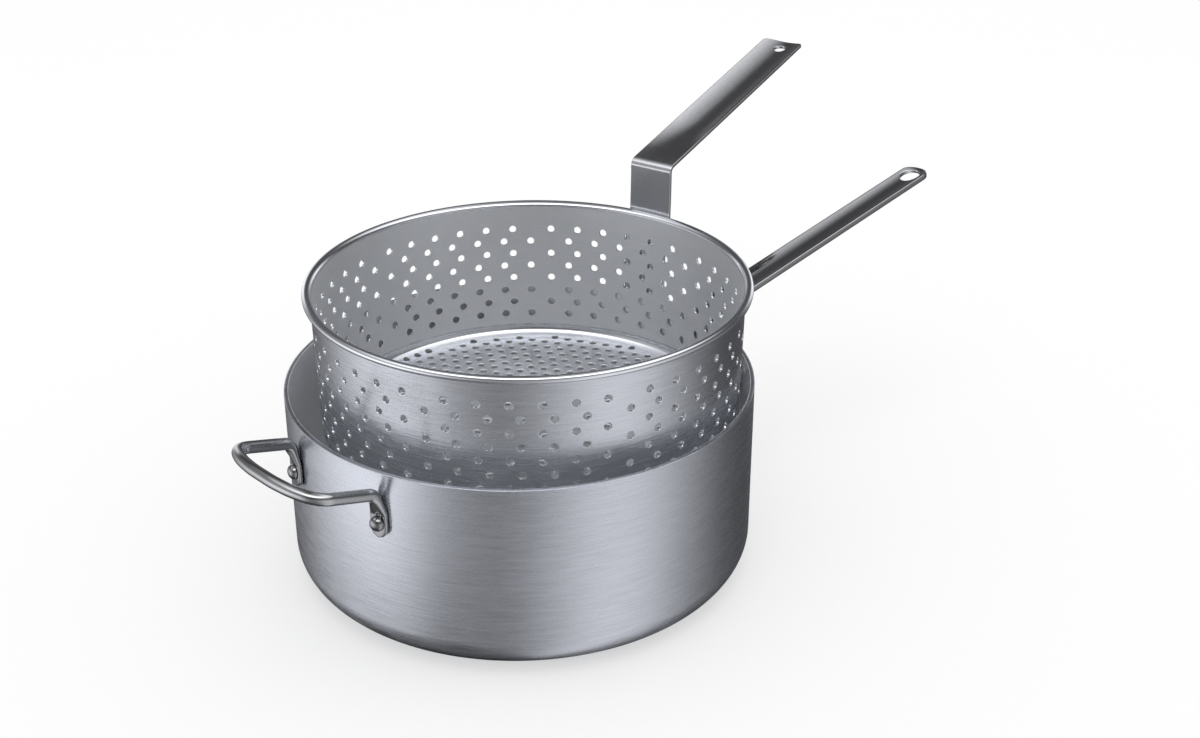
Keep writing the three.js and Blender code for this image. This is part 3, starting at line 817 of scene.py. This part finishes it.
def make_helper():
    tab_radius = POT_RADIUS + GAP + TAB_THICKNESS
    tab_angle = math.asin(BOW_HALF_WIDTH / tab_radius)
    elbow_radius = POT_RADIUS + GAP + ROD / 2 + ELBOW_CLEAR
    radial = np.array([-math.cos(tab_angle), -math.sin(tab_angle), 0])

    def on_bow(reach, across):
        rise = (reach - POT_RADIUS) * math.tan(BOW_TILT)
        return np.array([-reach, -across, POT_HEIGHT - BOW_DROP + rise])

    def on_grip(share):
        bent = max(0.0, share - BOW_BENDS[0]) / (1 - BOW_BENDS[0])
        return on_bow(BOW_REACH - BOW_SAG * bent**2, BOW_HALF_WIDTH * share)

    def on_tab(height):
        return radial * (POT_RADIUS + GAP + TAB_THICKNESS / 2) + (0, 0, height)

    shoulder = radial * elbow_radius
    elbow = on_bow(-shoulder[0], -shoulder[1])
    flat_top = POT_HEIGHT - TAB_RIVET_DROP + TAB_WIDTH / 2
    low = on_tab(POT_HEIGHT - TAB_BOTTOM)
    line = rounded_line(
        [
            (on_grip(0), 0),
            *((on_grip(share), BOW_CURVE) for share in BOW_BENDS),
            (on_grip(1), BOW_CORNER),
            (elbow, BOW_ELBOW),
            (on_tab(flat_top), BOW_ELBOW),
            (low, 0),
        ],
        ROD_TURN_STEP,
    )
    back = line[-2] - low
    run = np.linalg.norm(back)
    stops = [run * share for share in TAB_STOPS]
    stops += [*(TAB_WIDTH / 2 * (1 - np.cos(TAB_END_ANGLES)))]
    stops = sorted((s for s in stops if s < run), reverse=True)
    line = np.vstack([line[:-1], [low + back / run * s for s in stops], low])
    ahead = np.vstack([line[1:2] - line[:1], line[2:] - line[:-2], line[-1:] - line[-2:-1]])
    ahead[0] = (0, -1, 0)
    ahead /= np.linalg.norm(ahead, axis=1)[:, None]
    facing = -radial
    rings = []
    for place, direction in zip(line[::-1], ahead[::-1]):
        facing = facing - direction * (facing @ direction)
        facing = facing / np.linalg.norm(facing)
        side = np.cross(facing, direction)
        flat = 1 - float(smooth(place[2], flat_top, elbow[2] - BOW_ELBOW / 2))
        inset = max(0.0, 1 - (place[2] - low[2]) / (TAB_WIDTH / 2))
        tab_half = TAB_WIDTH / 2 * max(TAB_LEAST, math.sqrt(1 - inset**2))
        wide = lerp(ROD / 2, tab_half, flat)
        thick = lerp(ROD / 2, TAB_THICKNESS / 2, flat)
        power = lerp(1, TAB_SQUARENESS, flat)
        turn = circle(ROD_SIDES, np.pi / ROD_SIDES)
        u = wide * np.sign(np.cos(turn)) * np.abs(np.cos(turn)) ** power
        v = thick * np.sign(np.sin(turn)) * np.abs(np.sin(turn)) ** power
        rings.append(place + np.outer(u, side) + np.outer(v, facing))
    rings = rings[::-1]
    mirrored = [ring * (1, -1, 1) for ring in rings[:0:-1]]
    piece = Piece()
    loft(piece, mirrored + rings)
    return piece.build("helper", [rod_steel_painted_shade], sharp=50), tab_angle, tab_radius


# Basket


def wall_outside(depth):
    return BEAD_RADIUS - 2 * BEAD_TUBE - BASKET_TAPER * depth


def make_basket():
    patch = 2 * np.pi / HOLE_GROUPS
    start = HOLE_FIRST_COLUMN - PATCH_LEAD
    angles = circle(PATCH_STEPS * HOLE_GROUPS, start)
    bottom = BASKET_DEPTH - BASKET_CORNER
    floor = -BASKET_DEPTH
    inside = wall_outside(bottom) - BASKET_SHEET
    corner = inside - BASKET_CORNER
    bead = BEAD_RADIUS - BEAD_TUBE
    piece = Piece()

    # Wall, one patch for each group of holes; s is measured along the wall at this radius
    scale = wall_outside(bottom / 2)
    width = patch * scale
    centres = []
    for row in range(HOLE_ROWS):
        shift = HOLE_ROW_SHIFT if row % 2 == 0 else 0
        for hole in range(HOLES_PER_GROUP):
            angle = PATCH_LEAD + shift + HOLE_STEP * hole
            centres.append((angle * scale, -HOLE_FIRST_ROW - HOLE_ROW_PITCH * row))
    centres = np.array(centres)
    ring_radius = HOLE_RADIUS + HOLE_EDGE

    def nearest(points, middles):
        far = np.full(len(points), np.inf)
        for middle in middles:
            far = np.minimum(far, np.hypot(*(points - middle).T))
        return far

    columns = np.linspace(0, width, PATCH_STEPS + 1)
    levels = np.linspace(-bottom, -BEAD_SKIRT, PATCH_LEVELS)
    low, high = levels[0], levels[-1]
    rim = [(s, low) for s in columns] + [(width, t) for t in levels[1:-1]]
    rim += [(s, high) for s in columns[::-1]] + [(0, t) for t in levels[-2:0:-1]]
    holes = [ring_hole(*middle, ring_radius, ring_radius, WALL_HOLE_SIDES) for middle in centres]
    wall_clear = ring_radius + WALL_HOLE_CLEAR
    fill = grid_inside(
        columns[1:-1], levels[1:-1], lambda points: nearest(points, centres) > wall_clear
    )
    for group in range(HOLE_GROUPS):
        first = start + patch * group

        def place(points, depth, first=first):
            s, t = points.T
            angle = first + s / scale
            r = wall_outside(-t) - depth
            return np.stack([r * np.cos(angle), r * np.sin(angle), t], -1)

        sheet(
            piece,
            [rim, *holes],
            fill,
            place,
            BASKET_SHEET,
            # the holes' rounded edges take the lighter polished copy: painted glints
            [None] + [rounded_edge(HOLE_EDGE, BASKET_SHEET, 2)] * len(holes),
            # the back takes the lighter inside copy: painted light
            INSIDE,
            POLISHED,
        )

    # Bead: up the outside, round the roll and down the inside
    outside = [(wall_outside(depth), -depth) for depth in (BEAD_SKIRT, BEAD_LEAVES)]
    roll = arc(bead, 0, BEAD_TUBE, BEAD_FROM, 90, BEAD_STEPS)
    lead = bead - (BEAD_RADIUS - 2 * BEAD_TUBE - BASKET_SHEET)
    fall = BEAD_TUBE + BEAD_LEAD_DROP
    turn = np.linspace(0, np.pi / 2, LEAD_STEPS + 1)[1:]
    over = [(bead - lead * math.sin(a), fall * math.cos(a) - BEAD_LEAD_DROP) for a in turn]
    within = [over[-1], (wall_outside(BEAD_SKIRT) - BASKET_SHEET, -BEAD_SKIRT)]
    lathe(piece, [*outside, roll[0]], angles)
    # The roll takes the lighter polished copy: real polish with a painted highlight.
    lathe(piece, [*roll, *over], angles, POLISHED)
    # The inside of the bead's lead takes the lighter inside copy: painted light.
    lathe(piece, within, angles, INSIDE)

    # Floor, with the lower half of the rounded corner; the upper half is turned
    edge = BASKET_CORNER * math.radians(HALF_CORNER)

    def place_floor(points, depth):
        rho = np.hypot(*points.T)
        bend = np.maximum(0, rho - corner) / BASKET_CORNER
        radius = BASKET_CORNER + depth
        r = np.minimum(rho, corner) + radius * np.sin(bend)
        x, y = (points / np.maximum(rho, 1e-9)[:, None] * r[:, None]).T
        return np.stack([x, y, floor + BASKET_CORNER - radius * np.cos(bend)], -1)

    # The corner's inner half takes the lighter polished copy: a painted highlight band.
    for radius, first, last, zone in (
        (BASKET_CORNER + BASKET_SHEET, -HALF_CORNER, 0, 0),
        (BASKET_CORNER, 0, -HALF_CORNER, POLISHED),
    ):
        profile = arc(corner, floor + BASKET_CORNER, radius, first, last, HALF_CORNER_STEPS)
        lathe(piece, profile, angles, zone)
    count = int(2 * corner / FLOOR_PITCH)
    along, across = [
        FLOOR_PITCH * np.array([math.cos(turn), math.sin(turn)])
        for turn in (FLOOR_TURN, FLOOR_TURN + math.pi / 3)
    ]
    steps = range(-count, count + 1)
    middles = np.array([FLOOR_SHIFT + along * i + across * k for i in steps for k in steps])
    middles = middles[np.hypot(*middles.T) < corner + edge - FLOOR_MARGIN]
    holes = [ring_hole(*middle, ring_radius, ring_radius, FLOOR_HOLE_SIDES) for middle in middles]
    around = np.stack([np.cos(angles), np.sin(angles)], 1)
    hoops = [around * (corner + edge * k / FLOOR_HOOPS) for k in range(FLOOR_HOOPS + 1)]
    fill = np.vstack(hoops[:-1])
    fill = fill[nearest(fill, middles) > ring_radius + FLOOR_HOLE_CLEAR]
    sheet(
        piece,
        [hoops[-1], *holes],
        fill,
        place_floor,
        BASKET_SHEET,
        [None] + [rounded_edge(HOLE_EDGE, BASKET_SHEET, 1)] * len(holes),
        # the floor holes' walls take the lighter copy: painted light
        edge_zone=PUNCHED,
    )
    return piece.build("basket", [basket_metal, basket_satin_painted_light, polished_painted_glint, punched_painted_light])


def make_strap():
    clear = BEAD_RADIUS + 2 * GAP
    foot = DRAIN_RISE - GAP
    rise = (STRAP_REACH - clear) * math.tan(STRAP_SLOPE)
    bend = (clear, STRAP_BEND_RISE)
    tip = (STRAP_REACH, STRAP_BEND_RISE + rise)
    path = Path(
        [
            (wall_outside(foot) + GAP, -foot),
            (wall_outside(STRAP_JOG_BOTTOM) + GAP, -STRAP_JOG_BOTTOM),
            (clear, -STRAP_JOG_TOP),
            bend,
            tip,
        ],
        [STRAP_JOG_ROUND, STRAP_JOG_ROUND, STRAP_BEND],
    )
    half = STRAP_WIDTH / 2
    arm = math.dist(bend, tip)
    wall_run = foot - STRAP_JOG_BOTTOM
    bend_start = foot + STRAP_BEND_RISE - STRAP_BEND

    def place(points, depth):
        s, t = points.T
        wrap = (1 - smooth(s, wall_run, bend_start)) / (2 * clear)
        dish = STRAP_DISH * smooth(arm - (path.length - s), 0, STRAP_DISH_RUN)
        return path.carry(s, t, wrap * t**2 - dish * (1 - (t / half) ** 2) - depth)

    edge = STRAP_EDGE
    tip_s = path.length - STRAP_TIP_RUN
    reach = half - edge
    along = path.stops(edge, tip_s)
    turn = np.linspace(-np.pi / 2, np.pi / 2, END_STEPS + 1)[1:-1]
    tip_arc = np.stack([tip_s + (STRAP_TIP_RUN - edge) * np.cos(turn), reach * np.sin(turn)], 1)
    shares = np.linspace(-1, 1, STRAP_COLUMNS)
    side = np.stack([along, np.full(len(along), reach)], 1)
    columns = shares[1:-1] * reach
    foot_edge = np.stack([np.full(len(columns), edge), -columns], 1)
    rim = np.vstack([side * (1, -1), tip_arc, side[::-1], foot_edge])
    hole = (path.length - STRAP_HOLE_INSET, 0.0)
    ring_radius = STRAP_HOLE + edge

    def from_hole(points):
        return np.hypot(*(points - hole).T)

    def keep(points):
        s, t = points.T
        round_off = (np.maximum(0, s - tip_s) / (STRAP_TIP_RUN - edge)) ** 2 + (t / reach) ** 2
        return (from_hole(points) > ring_radius + STRAP_HOLE_CLEAR) & (round_off < STRAP_TIP_FILL)

    fill = grid_inside([*along[1:], *(tip_s + run for run in STRAP_TIP_ROWS)], columns, keep)
    piece = Piece()
    sheet(
        piece,
        [rim, ring_hole(*hole, ring_radius, ring_radius, STRAP_HOLE_SIDES)],
        fill,
        place,
        STRAP_THICKNESS,
        [rounded_edge(edge, STRAP_THICKNESS)] * 2,
    )
    return piece.build("strap", [strap_metal])


def settle(obj, body, slot, *nodes):
    """The piece moves with a body and stands for CAD nodes, which are hidden. slot is not used."""
    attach(obj, body)
    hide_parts(*nodes)


settle(make_pot(), "pot", "pot_aluminium", "pot_body")
settle(make_long_handle(), "pot", "polished_steel", "pot_handle")
helper, tab_angle, tab_radius = make_helper()
settle(helper, "pot", "polished_steel", "helper_handle")
tab_grip = POT_WALL + GAP + TAB_THICKNESS + GAP
for label, angle in (("left", math.pi - tab_angle), ("right", math.pi + tab_angle)):
    spot = wall_matrix(angle, tab_radius + GAP, POT_HEIGHT - TAB_RIVET_DROP)
    rivet = make_rivet(f"helper_rivet_{label}_fine", tab_grip, spot)
    settle(rivet, "pot", "polished_steel", f"helper_rivet_{label}")
plate_radius = POT_RADIUS + GAP + PLATE_SHEET
plate_grip = POT_WALL + GAP + PLATE_SHEET + GAP
for number, (across, below) in enumerate(PLATE_RIVETS, 1):
    spot = wall_matrix(across / plate_radius, plate_radius + GAP, POT_HEIGHT - below)
    rivet = make_rivet(f"pot_handle_rivet_{number}_fine", plate_grip, spot)
    settle(rivet, "pot", "polished_steel", f"pot_handle_rivet_{number}")

basket_shift = POT_RADIUS - POT_WALL - wall_outside(DRAIN_RISE) - BASKET_PLAY
basket_place = Matrix.Translation(
    Vector(
        (
            basket_shift * math.cos(STRAP_ANGLE),
            basket_shift * math.sin(STRAP_ANGLE),
            POT_HEIGHT + DRAIN_RISE,
        )
    )
    * MM
) @ Matrix.Rotation(STRAP_ANGLE, 4, "Z")
for obj, slot, node in (
    (make_basket(), "basket_aluminium", "basket_shell"),
    (make_strap(), "polished_steel", "basket_handle"),
):
    obj.data.transform(basket_place)
    settle(obj, "basket", slot, node)


# Studio


def seen_directly(tree):
    """1 for camera, glossy and transmission rays, and 0 for the others."""
    rays = add_node(tree, "ShaderNodeLightPath")
    first = add_node(tree, "ShaderNodeMath", operation="MAXIMUM")
    second = add_node(tree, "ShaderNodeMath", operation="MAXIMUM")
    tree.links.new(rays.outputs["Is Camera Ray"], first.inputs[0])
    tree.links.new(rays.outputs["Is Glossy Ray"], first.inputs[1])
    tree.links.new(first.outputs[0], second.inputs[0])
    tree.links.new(rays.outputs["Is Transmission Ray"], second.inputs[1])
    return second.outputs[0]


FLOOR_SIZE = 20
FLOOR_COLOUR = 0.53
FLOOR_GLOW = 0.475
WORLD_LIGHT = 0.85
LAMP_PLACE = (0.1, 0, 4)
LAMP_TARGET = (0, 0, 0.1)
LAMP_SIZE = 4
LAMP_POWER = 32


def make_floor():
    mesh = bpy.data.meshes.new("floor")
    corners = [(-1, -1), (1, -1), (1, 1), (-1, 1)]
    mesh.from_pydata([(x * FLOOR_SIZE, y * FLOOR_SIZE, 0) for x, y in corners], [], [(0, 1, 2, 3)])
    floor = bpy.data.objects.new("floor", mesh)
    bpy.context.scene.collection.objects.link(floor)
    finish = bpy.data.materials.new("floor_paper")
    finish.use_nodes = True
    tree = finish.node_tree
    tree.nodes.remove(tree.nodes["Principled BSDF"])
    paper = add_node(tree, "ShaderNodeBsdfDiffuse", Color=(FLOOR_COLOUR,) * 3 + (1,))
    glow = add_node(tree, "ShaderNodeEmission")
    share = add_node(tree, "ShaderNodeMath", operation="MULTIPLY")
    share.inputs[1].default_value = FLOOR_GLOW
    both = add_node(tree, "ShaderNodeAddShader")
    tree.links.new(seen_directly(tree), share.inputs[0])
    tree.links.new(share.outputs[0], glow.inputs["Strength"])
    tree.links.new(paper.outputs[0], both.inputs[0])
    tree.links.new(glow.outputs[0], both.inputs[1])
    tree.links.new(both.outputs[0], tree.nodes["Material Output"].inputs["Surface"])
    mesh.materials.append(finish)
    floor.visible_glossy = False
    floor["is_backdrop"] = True


# The studio that the metal reflects: two banks of light to the sides of the camera, two narrow
# strips behind the object, a soft box overhead and a dark background. Directions are in degrees
# from the camera, to the right, and heights in degrees above the floor.
BACKGROUND = 0.08
BANKS = [(-70, 48, 36, 1.42), (47, 42, 42, 0.85)]  # direction, width to its left and right, level
BANK_TOP = (0, 20, 0.3)  # they fade between these heights, down to this share
OVERHEAD_BEHIND = (36, 52, 0.2)  # starts and is full at these heights, level
OVERHEAD_FRONT = (38, 52, 2.8)
OVERHEAD_TOP = (60, 78, 0.35)  # dimmer between these heights, down to this share
OVERHEAD_RIGHT = (130, 42, 0.7)  # brighter here: direction, half width, level
STRIPS = (152, 13, 1.1)  # narrow ones to either side behind: direction, half width, level
STRIP_ENDS = (-16, -6, 18, 28)  # heights over which they fade in and out
BELOW_LEFT = (-52, -10, 0.1)  # dark under this height, full above this one, level of the dark
BELOW_RIGHT = (-75, -45, 1.0)
BELOW_CHANGE = (-40, 5)  # from the left one to the right one between these directions
STUDIO_RADIUS = 4
STUDIO_COLUMNS = 120
STUDIO_ROWS = 60
STUDIO_BLUE = 1.03  # its light is this much bluer than grey


def studio_level(turn, height):
    turn = (turn + 180) % 360 - 180
    level = BACKGROUND
    low, high, share = BANK_TOP
    fade = lerp(1, share, smooth(height, low, high))
    for middle, left, right, strength in BANKS:
        away = (turn - middle + 180) % 360 - 180
        level = level + strength * fade * np.exp(-((away / (left if away < 0 else right)) ** 2))
    middle, half, strength = STRIPS
    fade = smooth(height, *STRIP_ENDS[:2]) * (1 - smooth(height, *STRIP_ENDS[2:]))
    level = level + strength * fade * np.exp(-(((abs(turn) - middle) / half) ** 2))
    side = smooth(turn, *BELOW_CHANGE)
    low, high, dark = (lerp(left, right, side) for left, right in zip(BELOW_LEFT, BELOW_RIGHT))
    level = level * lerp(dark, 1, smooth(height, low, high))
    ahead = 0.5 + 0.5 * np.cos(np.radians(turn))
    start, full, roof = (lerp(a, b, ahead) for a, b in zip(OVERHEAD_BEHIND, OVERHEAD_FRONT))
    middle, half, extra = OVERHEAD_RIGHT
    roof = roof + extra * np.exp(-(((turn - middle) / half) ** 2))
    low, high, share = OVERHEAD_TOP
    roof = roof * lerp(1, share, smooth(height, low, high))
    return lerp(level, roof, smooth(height, start, full))


def make_studio():
    turns = np.linspace(-180, 180, STUDIO_COLUMNS + 1)[:-1]
    heights = np.linspace(-90, 90, STUDIO_ROWS + 1)
    heading = math.atan2(-CAMERA_HEADING[1], -CAMERA_HEADING[0])
    points = []
    levels = []
    for height in heights:
        for turn in turns:
            angle = heading + math.radians(turn)
            flat = math.cos(math.radians(height)) * STUDIO_RADIUS
            rise = math.sin(math.radians(height)) * STUDIO_RADIUS
            points.append((flat * math.cos(angle), flat * math.sin(angle), rise))
            levels.append(float(studio_level(turn, height)))
    count = len(turns)
    faces = []
    for row in range(len(heights) - 1):
        for i in range(count):
            a, b = row * count + i, row * count + (i + 1) % count
            faces.append((a, a + count, b + count, b))
    mesh = bpy.data.meshes.new("studio")
    mesh.from_pydata(points, [], faces)
    colours = mesh.color_attributes.new("level", "FLOAT_COLOR", "POINT")
    for entry, level in zip(colours.data, levels):
        entry.color = (level, level, level * STUDIO_BLUE, 1)
    studio = bpy.data.objects.new("studio", mesh)
    bpy.context.scene.collection.objects.link(studio)
    finish = bpy.data.materials.new("studio_light")
    finish.use_nodes = True
    tree = finish.node_tree
    tree.nodes.remove(tree.nodes["Principled BSDF"])
    level = add_node(tree, "ShaderNodeAttribute", attribute_name="level")
    glow = add_node(tree, "ShaderNodeEmission", Strength=1.0)
    tree.links.new(level.outputs["Color"], glow.inputs["Color"])
    tree.links.new(glow.outputs[0], tree.nodes["Material Output"].inputs["Surface"])
    mesh.materials.append(finish)
    studio.visible_camera = False
    studio.visible_diffuse = False
    studio.visible_shadow = False
    studio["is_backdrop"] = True


def make_world():
    world = bpy.data.worlds.new("studio_world")
    bpy.context.scene.world = world
    world.use_nodes = True
    tree = world.node_tree
    background = tree.nodes["Background"]
    background.inputs["Color"].default_value = (1, 1, 1, 1)
    strength = add_node(tree, "ShaderNodeMapRange")
    strength.inputs["To Min"].default_value = WORLD_LIGHT
    strength.inputs["To Max"].default_value = 1
    tree.links.new(seen_directly(tree), strength.inputs["Value"])
    tree.links.new(strength.outputs["Result"], background.inputs["Strength"])
    world.cycles_visibility.glossy = False


def make_lamp():
    lamp = bpy.data.lights.new("overhead", "AREA")
    lamp.shape = "SQUARE"
    lamp.size = LAMP_SIZE
    lamp.energy = LAMP_POWER
    obj = bpy.data.objects.new("overhead", lamp)
    obj.location = LAMP_PLACE
    aim = Vector(LAMP_TARGET) - Vector(LAMP_PLACE)
    obj.rotation_euler = aim.to_track_quat("-Z", "Y").to_euler()
    obj.visible_glossy = False
    bpy.context.scene.collection.objects.link(obj)


def make_camera():
    camera = bpy.data.cameras.new("camera")
    camera.lens = CAMERA_LENS
    camera.sensor_width = CAMERA_SENSOR
    obj = bpy.data.objects.new("camera", camera)
    obj.location = CAMERA_PLACE
    flat = math.cos(CAMERA_PITCH)
    aim = Vector((CAMERA_HEADING[0] * flat, CAMERA_HEADING[1] * flat, -math.sin(CAMERA_PITCH)))
    obj.rotation_euler = aim.to_track_quat("-Z", "Y").to_euler()
    bpy.context.scene.collection.objects.link(obj)
    bpy.context.scene.camera = obj


make_camera()
make_floor()
make_studio()
make_world()
make_lamp()
bpy.context.scene.view_settings.view_transform = "Standard"

visual_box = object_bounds()
boxes = {"cad": cad_box, "visual": visual_box}
{name: [list(corner) for corner in box] for name, box in boxes.items()}
